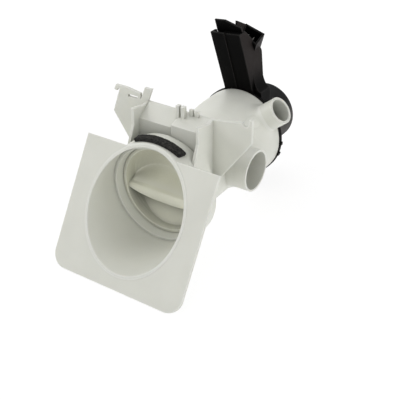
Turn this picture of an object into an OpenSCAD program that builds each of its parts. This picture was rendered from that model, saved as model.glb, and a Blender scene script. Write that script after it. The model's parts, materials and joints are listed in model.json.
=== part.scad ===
// Washer drain pump with a front filter, a slanted front flange and a black motor.
// The filter, impeller and motor share one axis along +Y. The origin is where that axis
// crosses the front of the flange, with +X to the inlet side and +Z up.

/* [Front flange and spout] */
// Lean of the flange back from upright, in degrees
flange_slant = 31.4; // [20:0.2:38]
// Width of the flange
flange_w = 116; // [104:1:130]
// Reach of the flange above the axis, along its slant
flange_up = 43.7; // [36:0.1:48]
// Reach of the flange below the axis, along its slant
flange_down = 59.5; // [55:0.5:72]
// Thickness of the flange
flange_t = 2.4; // [1.6:0.1:4]
// Radius of the flange's bottom corners
flange_corner_r = 12; // [3:0.5:20]
// Radial step from the filter's seat out to the spout's mouth
mouth_step = 4.1; // [3.9:0.1:6]
// Wall of the spout
spout_wall = 2.4; // [1.8:0.1:3.6]
// Axial place of the spout's rear end
spout_l = 43; // [41:0.5:46]

/* [Filter chamber] */
// Axial place of the front edge of the collar inside the spout
collar_y = 27; // [26.5:0.1:29]
// Inner radius of the collar's seat for the filter cap
seat_r = 36.3; // [34:0.1:40]
// Axial depth of the seat, from the front of the cap
seat_depth = 13; // [11:0.5:16]
// Bore radius of the long chamber tube
chamber_bore_r = 28.5; // [26:0.5:30]
// Wall of the chamber
chamber_wall = 2.4; // [1.8:0.1:2.8]
// Axial place of the rear end of the chamber tube
chamber_l = 112; // [111:0.5:120]

/* [Inlet spigot] */
// Gap between the inlet's root and the chamber's rear end
inlet_margin = 1.8; // [0.2:0.1:4]
// Height of the inlet above the axis
inlet_z = 4; // [-4:0.5:6]
// Reach of the inlet's mouth from the axis
inlet_reach = 48.3; // [45:0.5:70]
// Outer radius of the inlet
inlet_r = 16.8; // [16.4:0.1:18.4]
// Bore radius of the inlet
inlet_bore_r = 15.2; // [12:0.1:15.4]

/* [Volute and outlet] */
// Outer radius of the volute
volute_r = 38; // [37:0.5:44]
// Wall of the volute
volute_wall = 3.6; // [3:0.1:4.5]
// Axial length of the volute casing
volute_l = 36.5; // [36:0.5:42]
// Axial length of the dome's part behind the chamber tube
dome_l = 22; // [18:0.5:23]
// Radius of the suction eye in front of the impeller
eye_r = 13; // [9:0.5:16]
// Rise of the outlet above level, in degrees
outlet_rise = 39.5; // [25:0.5:60]
// Reach of the outlet's mouth from the axis
outlet_reach = 56.3; // [52:0.5:80]
// Outer radius of the outlet
outlet_r = 11.2; // [10:0.1:11.4]
// Bore radius of the outlet
outlet_bore_r = 9.1; // [7:0.1:9.2]

/* [Support bracket] */
// Axial place of the front of the cross plate
plate_y = 58.5; // [57:0.5:62]
// Thickness of the cross plate and the cheeks
plate_t = 2.2; // [1.6:0.1:3]
// Half width of the cross plate
plate_half_w = 62; // [56:0.5:70]
// Height of the cross plate's top edge above the axis
plate_top = 56.5; // [54.5:0.5:62]
// Half distance between the inner faces of the cheeks
cheek_x = 27.5; // [26:0.5:30]
// Axial place of the front edge of the cheeks
cheek_y = 39.5; // [38:0.5:42]

/* [Filter insert] */
// Axial place of the front of the filter cap
cap_y = 34; // [33:0.5:34.8]
// Depth of the finger dish in the cap
dish_depth = 22; // [16:0.5:24]
// Wall of the cap
cap_wall = 2; // [1.4:0.1:2.4]
// Turn of the grip bar from level, in degrees
grip_turn = 0; // [0:1:25]
// Number of ribs round the basket
basket_ribs = 10; // [6:1:14]
// Axial length of the basket behind the cap
basket_l = 46; // [30:1:50]

/* [Motor] */
// Thickness of the motor plate
motor_plate_t = 3.2; // [2.4:0.1:4.4]
// Outer radius of the motor cover
motor_r = 25.8; // [24.2:0.1:28]
// Axial length of the motor cover
motor_l = 47; // [45:0.5:60]
// Wall of the motor cover
motor_wall = 1.8; // [1.2:0.1:1.9]
// Bore radius of the rotor can
can_r = 12.5; // [12:0.1:12.7]
// Radius of the rotor magnet
magnet_r = 11; // [9:0.1:11.4]
// Length of the rotor magnet
magnet_l = 24; // [16:0.5:25]
// Radius of the rotor shaft
shaft_r = 2; // [1.5:0.05:2.2]
// Radius of the impeller
impeller_r = 20; // [16:0.5:24]
// Number of impeller blades
impeller_blades = 6; // [3:1:8]
// Number of claws on each stator pole cup
claws = 5; // [3:1:6]

/* [Connector tower] */
// Width of the tower
tower_w = 26.2; // [24:0.2:30]
// Height of the tower's front wall
tower_h = 54; // [48:0.5:60]
// Axial depth of the tower at its foot
tower_depth = 19; // [18:0.5:24]
// Forward lean of the tower's front wall, in degrees
tower_lean = 15.5; // [8:0.5:20]
// Sideways lean of the tower, in degrees
tower_roll = 6; // [0:0.5:9]
// Wall of the tower
tower_wall = 1.8; // [1.4:0.1:2.4]
// Width of the connector shroud
shroud_w = 17.5; // [15:0.5:20]
// Depth of the connector shroud
shroud_d = 14; // [12:0.5:16]

/* [Hidden] */
$fn = 96;

// Clearances between pieces
push_fit = 0.1;
seat_fit = 0.02;
running_fit = 0.05;
free_gap = 0.3;
cut = 1;

// Colours
housing_white = [0.86, 0.86, 0.83];
filter_white = [0.88, 0.88, 0.80];
motor_black = [0.05, 0.05, 0.055];
cover_grey = [0.11, 0.11, 0.115];
rubber_black = [0.04, 0.04, 0.04];
steel = [0.62, 0.63, 0.65];
copper = [0.72, 0.42, 0.22];
bobbin_green = [0.55, 0.62, 0.55];
graphite = [0.2, 0.2, 0.21];
nylon = [0.8, 0.8, 0.76];

// Spout and chamber
mouth_r = seat_r + mouth_step;
spout_r = mouth_r + spout_wall;
spout_taper = 0.7;
spout_end_r = mouth_r - spout_taper;
collar_wall = 3.1;
collar_r = seat_r + collar_wall;
collar_lip = 1.1;
seat_y = cap_y + seat_depth;
chamber_r = chamber_bore_r + chamber_wall;
inlet_flare = 1.4;
inlet_root_r = inlet_r + inlet_flare;
inlet_root_x = chamber_bore_r - 4;
inlet_straight = 11;
inlet_taper = inlet_reach - inlet_straight - inlet_root_x;
inlet_y = chamber_l - inlet_margin - inlet_root_r;

// Dome: part of an ellipse that starts on the chamber tube and is split where the tube ends
dome_turn = 45;
dome_run = dome_l + 13;
dome_end = chamber_l + dome_l;
dome_ry = dome_run / sin(dome_turn);
dome_rx = (volute_r - chamber_r) / (1 - cos(dome_turn));
dome_split = -asin(dome_l / dome_ry);
dome_foot = dome_turn + dome_split;
dome_split_r = volute_r - dome_rx * (1 - cos(dome_split));

// Foam strip over the spout
foam_y = collar_y + 0.2;
foam_l = 7.4;
foam_t = 3;
foam_from = -26;
foam_to = 30;

// Support bracket
wing_top = 1.08 * plate_top;
wing_crown = 1.113 * plate_top;
wing_low = [0.71 * plate_top, 0.82 * plate_top];
wing_foot_z = 0.21 * plate_top;
wing_foot_x = [-0.69 * plate_half_w, 0.6 * plate_half_w];
prong_top = 1.145 * plate_top;
notch_x = [0.87 * plate_half_w, 0.955 * plate_half_w];
notch_low = plate_top + 2;
notch_round = 2.4;
hook_x = [-0.94 * plate_half_w, -0.972 * plate_half_w, -0.932 * plate_half_w, -0.916 * plate_half_w];
hook_lip = [4.2, 5];
hook_gap = [2.7, 1.8];
crown_x = -0.776 * plate_half_w;
slot_x = [-0.758 * plate_half_w, -0.613 * plate_half_w];
slot_h = 2;
slot_z = plate_top - 0.8;
tab_x = [-0.568 * plate_half_w, -0.461 * plate_half_w];
tab_lean = 4.4;
tab_top = 1.185 * plate_top;
cheek_top = plate_top + 1.9;
cheek_fall = 3.7;
cheek_knee = spout_r + 2.2;
cheek_toe = [0.8 * cheek_y, 0.48 * plate_top];
bracket_foot = 8;
pocket_left = [plate_y - 12, spout_r + 5.2];
pocket_right = [plate_y - 14.5, spout_r + 8.7];
pocket_split = 3;
finger_x = [1.5, 6];
finger = [2.8, 3.5, 11];
finger_back = 6.5;
finger_root = 4;
stop_x = [10.5, 15.2];
stop_w = 3;
stop_h = 6.5;

// Volute
motor_y = chamber_l + volute_l;
volute_bore_r = volute_r - volute_wall;
eye_wall = 2.5;
outlet_y = motor_y - outlet_r - push_fit;
volute_front_y = outlet_y - outlet_bore_r - 2 * free_gap;
outlet_straight = 14;
outlet_neck_r = outlet_r - free_gap;
duct_y = chamber_l + 3.1;
duct_turn = 8.7;
duct_tip_r = 5.8;
duct_end_r = outlet_neck_r - push_fit;
duct_depth = [0.8 * volute_r, 0.94 * volute_r];

// Filter insert
cap_r = seat_r - free_gap;
cap_rim = 2.4;
dish_r = cap_r - cap_rim;
dish_flat_r = 0.42 * dish_r;
dish_round = 0.64 * dish_depth;
dish_y = cap_y + dish_depth;
grip_y = cap_y + 2;
grip_nose = 3;
grip_low = -13.2;
grip_h = 7.6;
grip_bend_r = 110;
grip_slope = 8;
grip_draft = 1;
grip_top = grip_low + grip_h;
pocket_y = [cap_y + 0.27 * dish_depth, cap_y + 0.75 * dish_depth];
cap_back = dish_y + cap_wall;
cap_back_r = chamber_bore_r - 1.2;
taper_end = cap_back - 1;
neck_end = max(plate_y, cap_back + 0.5);
seal_w = 2.6;
seal_y = cap_y + 6;
seal_depth = 1.6;
basket_r = chamber_bore_r - 1;
basket_wall = 1.8;
basket_band = 3;
basket_lip = 5;
basket_rim = 1.5;

// Motor
plate_r = volute_r + 0.8;
plate_back = motor_y + motor_plate_t;
lug_h = 1;
lug_angle = 4;
lug_angles = [90, 105];
plug_l = 5.5;
plug_wall = 3;
plug_r = volute_bore_r - push_fit;
plug_y = motor_y - plug_l;
groove_y = plug_y + 1.5;
groove_l = 2.2;
groove_depth = 1.4;
can_wall = 1.5;
can_out_r = can_r + can_wall;
can_flange_r = can_out_r + 3;
cover_back = plate_back + motor_l;
can_l = motor_l - 7;
can_end = plate_back + can_l;
carrier_l = 4;
bearing_r = 4.5;
mount_r = 7;
rear_seat_l = 4;
rear_seat_y = can_end - can_wall - rear_seat_l;
core_r = 5;
magnet_y = rear_seat_y - 4 - magnet_l;
shaft_front = volute_front_y + 6;
washer_l = 1.6;
washer_r = 4.2;
carrier_y = plate_back - carrier_l;
washer_y = carrier_y - free_gap - washer_l;
hub_r = 7;
dog_r = 4.6;
dog_sleeve_r = 3.2;
dog_l = 6;
dog_angle = 50;
rest_gap = 5;
dog_y = washer_y - dog_l - free_gap;
hub_back = dog_y + dog_l;
blade_t = 1.8;
blade_front = volute_front_y + 2.5;

// Stator
pole_gap = free_gap;
claw_t = 1.1;
cup_t = 1.4;
cup_r = motor_r - motor_wall - push_fit;
cup_front_y = plate_back + 0.5;
cup_back_y = can_end - 4.5;
claw_share = 0.4;
claw_root = 0.4;
can_pole_r = can_out_r + pole_gap;
claw_r = can_pole_r + claw_t;
bobbin_r = claw_r + push_fit;
bobbin_wall = 0.9;
bobbin_flange = 1.4;
shell_t = 1;
bobbin_out_r = cup_r - shell_t - free_gap;
winding_r = bobbin_out_r - 0.8;

// Tower
tower_z = plate_r - 2;
tower_left = -15.4;
tower_right = tower_left + tower_w;
tower_split = tower_left + 12.4;
tower_rear = motor_y + tower_depth;
tower_step = 0.8;
foot_drop = tower_z - motor_r * 0.7;
rear_leaf_gap = 6;
rear_leaf_rise = 9.3;
rear_leaf_inset = [2.7, 0.6];
rear_leaf_flat = 9.2;
rear_leaf_fall = 6;
roof_l = 10;
flare_w = 6.5;
flare_h = 15;
flare_drop = 15;
side_top = tower_h - 0.5;
side_rear_top = 0.65 * tower_h;
side_corner_r = 6;
back_inset = 4;
back_drop = [6, 4];
fence_x = [-1.5, 0.3];
fence_front = [motor_y + 1.2, 1.1 * tower_h];
fence_back = [motor_y + 14.5, 0.972 * tower_h];
fence_lean = 3.7;
fence_foot = 0.68 * tower_h;
shroud_h = 17;
shroud_wall = 1.5;
shroud_depth = 11;
shroud_tip = [21, 22];
shroud_place = [0.084 * tower_w, motor_y + 0.516 * tower_depth, tower_z + 0.8704 * tower_h];
strip_w = 4.8;
strip_t = 0.8;
strip_gap = 5;
strip_h = 6.5;

// Turns a child's +Z to +Y and moves it along the axis.
module along_y(y = 0) translate([0, y, 0]) rotate([-90, 0, 0]) children();

// Spins an outline of [radius, axial place] points round the axis.
module turned(points) along_y() rotate_extrude() polygon(points);

// A ring on the axis.
module ring(y, l, r_out, r_in) turned([[r_in, y], [r_out, y], [r_out, y + l], [r_in, y + l]]);

// Part of a ring, from one angle to another, counted from the top towards +X.
module arc_ring(y, l, r_out, r_in, from, to)
    along_y(y) rotate([0, 0, from - 90]) rotate_extrude(angle = to - from)
        translate([r_in, 0]) square([r_out - r_in, l]);

// Wedges round the axis that cut windows in a tube, counted like arc_ring's angles.
module wedges(count, turn, angle, y, l, reach)
    along_y(y) for (i = [0 : count - 1]) rotate([0, 0, turn + i * 360 / count - 90])
        linear_extrude(l) polygon([[0, 0], [reach, 0], [reach * cos(angle), reach * sin(angle)]]);

// Puts a drawing on the front of the flange: local Y runs up the slant, local Z points outwards.
module on_flange() rotate([90 - flange_slant, 0, 0]) children();

// Extrudes an outline of [y, z] points from x0 to x1.
module across_x(x0, x1) translate([x0, 0, 0]) rotate([90, 0, 90]) linear_extrude(x1 - x0) children();

// Extrudes an outline of [x, z] points from y0 to y1.
module through_y(y0, y1) translate([0, y1, 0]) rotate([90, 0, 0]) linear_extrude(y1 - y0) children();

// Points along part of an ellipse.
function ellipse(cx, cy, rx, ry, a0, a1, n = 12) =
    [for (i = [0 : n]) let (a = a0 + (a1 - a0) * i / n) [cx + rx * cos(a), cy + ry * sin(a)]];

// The flange's outline, with square top corners and round bottom corners.
module flange_outline() {
    half = flange_w / 2;
    translate([-half, flange_corner_r - flange_down])
        square([flange_w, flange_up + flange_down - flange_corner_r]);
    translate([flange_corner_r - half, -flange_down])
        square([flange_w - 2 * flange_corner_r, flange_corner_r]);
    for (side = [-1, 1])
        translate([side * (half - flange_corner_r), flange_corner_r - flange_down])
            circle(r = flange_corner_r);
}

// Everything in front of the flange's face.
module in_front_of_flange() {
    reach = 4 * flange_w;
    on_flange() translate([-reach / 2, -reach / 2, 0]) cube([reach, reach, reach]);
}

// Slanted flange with the round spout that the filter is drawn out through.
module front_spout() color(housing_white) {
    start = -flange_w;
    difference() {
        union() {
            on_flange() translate([0, 0, -flange_t]) linear_extrude(flange_t) flange_outline();
            difference() {
                along_y(start) cylinder(r = spout_r, h = spout_l - start);
                in_front_of_flange();
            }
        }
        turned([[0, start - cut], [mouth_r, start - cut], [mouth_r, 0], [spout_end_r, collar_y],
            [collar_r + push_fit, collar_y], [collar_r + push_fit, spout_l + cut], [0, spout_l + cut]]);
    }
}

// Points along the dome, which starts on the chamber tube and ends at the volute's full radius.
function dome_arc(from, to, n) = ellipse(volute_r - dome_rx, dome_end, dome_rx, dome_ry, from, to, n);

// The chamber's outside, grown by a margin: collar, neck, long tube and the foot of the dome.
module chamber_outline(grow = 0)
    turned(concat([[0, collar_y], [collar_r + grow, collar_y], [collar_r + grow, seat_y],
        [chamber_r + grow, neck_end], [chamber_r + grow, dome_end - dome_run]],
        [for (p = dome_arc(dome_split - 0.9 * dome_foot, dome_split - 0.1 * dome_foot, 4)) p + [grow, 0]],
        [[dome_split_r + grow, chamber_l], [0, chamber_l]]));

// The inside of the chamber: mouth cone, seat for the cap, taper and long bore.
module chamber_space()
    turned([[0, collar_y - cut], [seat_r + collar_lip, collar_y - cut], [seat_r + collar_lip, collar_y],
        [seat_r, cap_y - free_gap], [seat_r, seat_y], [chamber_bore_r, taper_end],
        [chamber_bore_r, chamber_l + cut], [0, chamber_l + cut]]);

// Tube that holds the filter, with the inlet spigot on its side.
module filter_chamber() color(housing_white) {
    difference() {
        union() {
            chamber_outline();
            translate([0, inlet_y, inlet_z]) rotate([0, 90, 0]) {
                cylinder(r = inlet_r, h = inlet_reach);
                translate([0, 0, inlet_root_x]) cylinder(r1 = inlet_root_r, r2 = inlet_r, h = inlet_taper);
            }
        }
        chamber_space();
        translate([0, inlet_y, inlet_z]) rotate([0, 90, 0])
            cylinder(r = inlet_bore_r, h = inlet_reach + cut);
    }
}

// The inside of the volute, with the suction eye in its front wall.
module volute_space() {
    front_cup = volute_front_y - eye_wall;
    turned([[0, chamber_l - cut], [chamber_bore_r, chamber_l - cut], [chamber_bore_r, front_cup],
        [eye_r, front_cup], [eye_r, volute_front_y], [volute_bore_r, volute_front_y],
        [volute_bore_r, motor_y + cut], [0, motor_y + cut]]);
}

// Local frame of the outlet: its axis is Z and starts on the pump's axis.
module in_outlet() translate([0, outlet_y, 0]) rotate([0, 90 - outlet_rise, 0]) children();

// The outlet's tube: a neck, a small shoulder and the straight end that takes the hose.
module outlet_tube() {
    shoulder = outlet_reach - outlet_straight;
    rotate_extrude()
        polygon([[0, 0], [outlet_neck_r, 0], [outlet_neck_r, shoulder - free_gap], [outlet_r, shoulder],
            [outlet_r, outlet_reach], [0, outlet_reach]]);
}

// A point at an angle above level, a distance from the axis.
function round_axis(angle, r, y) = [r * cos(angle), y, r * sin(angle)];

// A tapered round bar from one point to another.
module strut(from, to, r1, r2) {
    run = to - from;
    translate(from) rotate([0, acos(run[2] / norm(run)), atan2(run[1], run[0])])
        cylinder(r1 = r1, r2 = r2, h = norm(run));
}

// Domed casing round the impeller, with the outlet spigot and the swelling that leads to it.
module volute_casing() color(housing_white) {
    difference() {
        union() {
            turned(concat([[0, chamber_l], [dome_split_r, chamber_l]],
                dome_arc(0.9 * dome_split, 0.1 * dome_split, 8),
                [[volute_r, dome_end], [volute_r, motor_y], [0, motor_y]]));
            in_outlet() outlet_tube();
            strut(round_axis(outlet_rise + duct_turn, duct_depth[0], duct_y),
                round_axis(outlet_rise, duct_depth[1], outlet_y), duct_tip_r, duct_end_r);
        }
        volute_space();
        in_outlet() cylinder(r = outlet_bore_r, h = outlet_reach + cut);
    }
}

// Right half of the cross plate, with its slanted lower edge and a notch beside a prong.
module plate_right() {
    middle = (notch_x[0] + notch_x[1]) / 2;
    half = (notch_x[1] - notch_x[0]) / 2;
    polygon(concat([[0, 0], [wing_foot_x[1], wing_foot_z], [plate_half_w, wing_low[1]],
        [plate_half_w, prong_top], [notch_x[1], prong_top]],
        ellipse(middle, notch_low + notch_round, half, notch_round, 0, -180, 8),
        [[notch_x[0], wing_top], [cheek_x, plate_top], [0, plate_top]]));
}

// Left half of the cross plate, with its hook, slot and leaning tab.
module plate_left() {
    difference() {
        polygon([[0, 0], [0, plate_top], [tab_x[0], plate_top], [tab_x[0], wing_top],
            [crown_x, wing_crown], [hook_x[0], wing_crown], [hook_x[1], wing_crown - hook_lip[0]],
            [hook_x[2], wing_crown - hook_lip[1]], [hook_x[3], wing_crown - hook_gap[0]],
            [hook_x[3] + hook_gap[1], wing_crown - hook_gap[0]], [-plate_half_w, wing_low[0]],
            [wing_foot_x[0], wing_foot_z]]);
        translate([slot_x[0], slot_z]) square([slot_x[1] - slot_x[0], slot_h]);
    }
    polygon([[tab_x[0], plate_top - cut], [tab_x[0] + tab_lean, tab_top], [tab_x[1] + tab_lean, tab_top],
        [tab_x[1], plate_top - cut]]);
}

// Wall at the back of the pocket: it stands on the chamber, then slopes up to the cross plate.
module pocket_wall(edge)
    polygon([[edge[0], bracket_foot], edge, [plate_y, plate_top], [plate_y, plate_top - plate_t],
        [edge[0] + plate_t, edge[1] - plate_t], [edge[0] + plate_t, bracket_foot]]);

// Spring fingers on the pocket's roof: a pair that grips a cable, and two low stops.
module bracket_fingers() {
    for (x = finger_x)
        translate([x, plate_y - finger_back, plate_top - finger_root]) cube(finger);
    for (x = stop_x)
        translate([x, plate_y - plate_t, plate_top - finger_root / 2]) cube([stop_w, plate_t, stop_h]);
}

// Outline of a cheek: upright front edge above a forward-sloping foot.
module cheek_outline()
    polygon([[cheek_toe[0], bracket_foot], cheek_toe, [cheek_y, cheek_knee], [cheek_y, cheek_top],
        [plate_y, cheek_top - cheek_fall], [plate_y, bracket_foot]]);

// Carrier moulding: cross plate, cheeks, the pocket's back walls and clips.
module support_bracket() color(housing_white) {
    difference() {
        union() {
            through_y(plate_y, plate_y + plate_t) {
                plate_right();
                plate_left();
            }
            across_x(-cheek_x - plate_t, -cheek_x) cheek_outline();
            across_x(cheek_x, cheek_x + plate_t) cheek_outline();
            across_x(-cheek_x, pocket_split) pocket_wall(pocket_left);
            across_x(pocket_split, cheek_x) pocket_wall(pocket_right);
            bracket_fingers();
        }
        along_y(0) cylinder(r = spout_r + push_fit, h = spout_l + push_fit);
        chamber_outline(push_fit);
    }
}

// Foam strip that lies over the top of the spout behind its lip.
module foam_strip() color(rubber_black)
    arc_ring(foam_y, foam_l, spout_r + push_fit + foam_t, spout_r + push_fit, foam_from, foam_to);

// Ring that seals the filter cap in its seat.
module filter_seal() color(rubber_black)
    ring(seal_y + free_gap / 2, seal_w - free_gap, cap_r, cap_r - seal_depth + running_fit);

// The round dish in the cap's front, grown by a margin.
module dish_space(grow = 0)
    turned(concat([[0, cap_y - cut], [dish_r + grow, cap_y - cut]],
        ellipse(dish_flat_r, dish_y - dish_round, dish_r - dish_flat_r + grow, dish_round + grow, 0, 90, 8),
        [[0, dish_y + grow]]));

// Grip bar with a round nose, a rising top and a lower edge that bends up towards its ends.
module grip_bar() {
    middle = grip_low + grip_h / 2;
    intersection() {
        across_x(-cap_r, cap_r)
            polygon(concat([[dish_y + cut, grip_low - grip_draft]],
                ellipse(grip_y + grip_nose, middle, grip_nose, grip_h / 2 + grip_draft, 270, 90, 8),
                [[dish_y + cut, grip_top + grip_slope]]));
        translate([0, 0, grip_low + grip_bend_r]) along_y(cap_y)
            cylinder(r = grip_bend_r, h = 2 * dish_depth);
    }
}

// Sloping floor of the pocket below the grip bar.
module grip_floor()
    across_x(-cap_r, cap_r)
        polygon([[dish_y + cut, grip_low + grip_h / 2], [pocket_y[1], grip_low + grip_h / 2],
            [pocket_y[0], -cap_r], [dish_y + cut, -cap_r]]);

// Screw-in cap with a dished front and a grip bar across it.
module filter_cap() color(filter_white) {
    difference() {
        turned([[0, cap_y], [cap_r, cap_y], [cap_r, seat_y - 1], [cap_back_r, cap_back], [0, cap_back]]);
        dish_space();
        ring(seal_y, seal_w, cap_r + cut, cap_r - seal_depth);
    }
    intersection() {
        rotate([0, grip_turn, 0]) {
            grip_bar();
            grip_floor();
        }
        dish_space(cap_wall / 4);
    }
}

// Open cage that catches what the water carries.
module filter_basket() color(filter_white) {
    back = cap_back + basket_l;
    floor_y = cap_back + basket_band;
    window_y = floor_y + basket_rim;
    window_l = basket_l - 2 * basket_band - 2 * basket_rim;
    inner_r = basket_r - basket_wall;
    difference() {
        turned([[0, cap_back], [basket_r, cap_back], [basket_r, back], [basket_r - basket_lip, back],
            [basket_r - basket_lip, back - basket_band], [inner_r, back - basket_band], [inner_r, floor_y],
            [0, floor_y]]);
        wedges(basket_ribs, 0, 240 / basket_ribs, window_y, window_l, 2 * basket_r);
    }
}

// Black plate that closes the volute and carries the rotor can.
module motor_plate() color(motor_black) {
    hole_r = can_out_r + push_fit;
    recess_r = can_flange_r + push_fit;
    recess_y = motor_y + can_wall;
    plug_in_r = plug_r - plug_wall;
    groove_r = plug_r - groove_depth;
    plate_lugs();
    turned([[plug_in_r, plug_y], [plug_r, plug_y], [plug_r, groove_y], [groove_r, groove_y],
        [groove_r, groove_y + groove_l], [plug_r, groove_y + groove_l], [plug_r, motor_y],
        [plate_r, motor_y], [plate_r, plate_back], [hole_r, plate_back], [hole_r, recess_y],
        [recess_r, recess_y], [recess_r, motor_y], [plug_in_r, motor_y]]);
}

// Closed can that keeps the rotor's water away from the coil.
module rotor_can() color(motor_black)
    difference() {
        turned([[0, motor_y], [can_flange_r, motor_y], [can_flange_r, motor_y + can_wall],
            [can_out_r, motor_y + can_wall], [can_out_r, can_end], [0, can_end]]);
        along_y(motor_y - cut) cylinder(r = can_r, h = rear_seat_y - motor_y + cut);
        along_y(motor_y) cylinder(r = mount_r, h = rear_seat_y + rear_seat_l - motor_y);
    }

// Lugs that lock the motor plate behind the volute.
module plate_lugs()
    for (half = [0, 180])
        for (a = lug_angles)
            rotate([0, half, 0])
                arc_ring(motor_y, motor_plate_t, plate_r + lug_h, plate_r - cut, a, a + lug_angle);

// Ring that seals the motor plate in the volute.
module plate_seal() color(rubber_black)
    ring(groove_y, groove_l, plug_r + push_fit / 2, plug_r - groove_depth);

// Plug in the can's mouth that holds the front bearing.
module bearing_carrier() color(motor_black)
    ring(carrier_y, carrier_l, can_r - seat_fit, bearing_r);

// Bush at the front of the shaft.
module front_bearing() color(graphite)
    ring(carrier_y, carrier_l, bearing_r - seat_fit, shaft_r + running_fit);

// Bush at the rear of the shaft.
module rear_bearing() color(graphite)
    ring(rear_seat_y, rear_seat_l, bearing_r - seat_fit, shaft_r + running_fit);

// Rubber ring that holds the rear bush.
module rear_bearing_mount() color(rubber_black)
    ring(rear_seat_y, rear_seat_l, mount_r - seat_fit, bearing_r);

// Gaps between the claws of a pole cup.
module claw_gaps(turn, y)
    wedges(claws, turn, (1 - claw_share) * 360 / claws, y, cup_back_y - cup_front_y, bobbin_out_r);

// Front steel cup of the stator.
module pole_cup_front() color(steel) {
    bend = cup_front_y + cup_t;
    tip = cup_back_y - cup_t;
    difference() {
        turned([[can_pole_r, cup_front_y], [cup_r, cup_front_y], [cup_r, bend], [claw_r, bend],
            [claw_r, tip], [can_pole_r, tip]]);
        claw_gaps(0, bend + claw_root);
    }
}

// Rear steel cup of the stator, with the outer shell.
module pole_cup_rear() color(steel) {
    back = cup_back_y + cup_t;
    tip = cup_front_y + 2 * cup_t;
    shell_front = cup_front_y + cup_t;
    difference() {
        turned([[can_pole_r, tip], [claw_r, tip], [claw_r, cup_back_y], [cup_r - shell_t, cup_back_y],
            [cup_r - shell_t, shell_front], [cup_r, shell_front], [cup_r, back], [can_pole_r, back]]);
        claw_gaps(180 / claws, cup_front_y - claw_root);
    }
}

// Bobbin between the pole cups.
module coil_bobbin() color(bobbin_green) {
    y0 = cup_front_y + cup_t;
    l = cup_back_y - y0;
    ring(y0, bobbin_flange, bobbin_out_r, bobbin_r);
    ring(y0 + l - bobbin_flange, bobbin_flange, bobbin_out_r, bobbin_r);
    ring(y0 + bobbin_flange, l - 2 * bobbin_flange, bobbin_r + bobbin_wall, bobbin_r);
}

// Coil on the bobbin.
module coil_winding() color(copper) {
    y0 = cup_front_y + cup_t + bobbin_flange;
    ring(y0, cup_back_y - bobbin_flange - y0, winding_r, bobbin_r + bobbin_wall + seat_fit);
}

// The two contact strips in the connector shroud.
module terminal_strips() color(steel)
    in_shroud()
        for (side = [-1, 1])
            translate([side * strip_gap / 2 - strip_t / 2, -strip_w / 2, -shroud_depth])
                cube([strip_t, strip_w, strip_h]);

// Rear cover of the motor.
module motor_cover() color(cover_grey) {
    edge_r = 3;
    difference() {
        turned(concat([[0, plate_back], [motor_r, plate_back]],
            ellipse(motor_r - edge_r, cover_back - edge_r, edge_r, edge_r, 0, 90, 6), [[0, cover_back]]));
        along_y(plate_back - cut) cylinder(r = motor_r - motor_wall, h = motor_l - motor_wall + cut);
    }
}

// Local frame of the tower: its foot is at z = 0 and it leans sideways.
module in_tower() translate([0, 0, tower_z]) rotate([0, -tower_roll, 0]) children();

// Local frame of the connector shroud: its mouth is at z = 0.
module in_shroud()
    translate(shroud_place) rotate([shroud_tip[0], 0, 0]) rotate([0, shroud_tip[1], 0]) children();

// Axial place of the tower's front face at a height above its foot.
function tower_front(z) = motor_y + push_fit - z * tan(tower_lean);

// Outline of the closed half of the tower: leaning front, falling roof, round rear corner.
module tower_side() {
    c = side_corner_r;
    polygon(concat([[tower_front(0) + tower_step, -foot_drop], [tower_front(0) + tower_step, 0],
        [tower_front(side_top) + tower_step, side_top], [tower_front(side_top) + roof_l, side_top]],
        ellipse(tower_rear - c, side_rear_top - c, c, c, 70, 0, 6), [[tower_rear, -foot_drop]]));
}

// Outline of a leaning wall of the open half of the tower.
module tower_leaf(gap, h)
    polygon([[tower_front(0) + gap, -foot_drop], [tower_front(0) + gap, 0], [tower_front(h) + gap, h],
        [tower_front(h) + gap + tower_wall, h], [tower_front(0) + gap + tower_wall, 0],
        [tower_front(0) + gap + tower_wall, -foot_drop]]);

// Round flare from the tower's side wall to its foot.
module tower_flare()
    through_y(plate_back, tower_rear - tower_step)
        polygon(concat([[tower_right - cut, -foot_drop], [tower_right - cut, flare_h]],
            ellipse(tower_right + flare_w, flare_h, flare_w, flare_drop, 180, 270, 8),
            [[tower_right + flare_w, -foot_drop]]));

// Outline of the body behind the open half, lower than the closed half.
module tower_back() {
    gap = rear_leaf_gap + tower_wall / 2;
    top = side_top - back_drop[0];
    rear = tower_rear - 2 * tower_step;
    polygon([[tower_front(0) + gap, -foot_drop], [tower_front(0) + gap, 0], [tower_front(top) + gap, top],
        [rear, side_rear_top - back_drop[1]], [rear, -foot_drop]]);
}

// Outline of the guard wall beside the connector shroud.
module shroud_fence()
    polygon([[fence_front[0] - fence_lean, fence_foot], fence_front, fence_back,
        [fence_back[0], fence_foot - back_drop[0]]]);

// The open half: front and rear leaves with a wall between them on the left.
module tower_channel() {
    rear_h = tower_h + rear_leaf_rise;
    rear_left = tower_left + rear_leaf_inset[0];
    rear_right = tower_right - rear_leaf_inset[1];
    across_x(tower_left, tower_split) tower_leaf(0, tower_h);
    difference() {
        across_x(rear_left, rear_right) tower_leaf(rear_leaf_gap, rear_h);
        through_y(motor_y - tower_h, tower_rear)
            polygon([[rear_left + rear_leaf_flat, rear_h], [rear_left + rear_leaf_flat, rear_h + cut],
                [rear_right + cut, rear_h + cut], [rear_right + cut, rear_h - rear_leaf_fall]]);
    }
    across_x(tower_left, tower_left + tower_wall)
        translate([cut, 0])
            polygon([[tower_front(0), -foot_drop], [tower_front(0), 0], [tower_front(tower_h), tower_h],
                [tower_front(tower_h) + rear_leaf_gap, tower_h], [tower_front(0) + rear_leaf_gap, 0],
                [tower_front(0) + rear_leaf_gap, -foot_drop]]);
}

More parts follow.
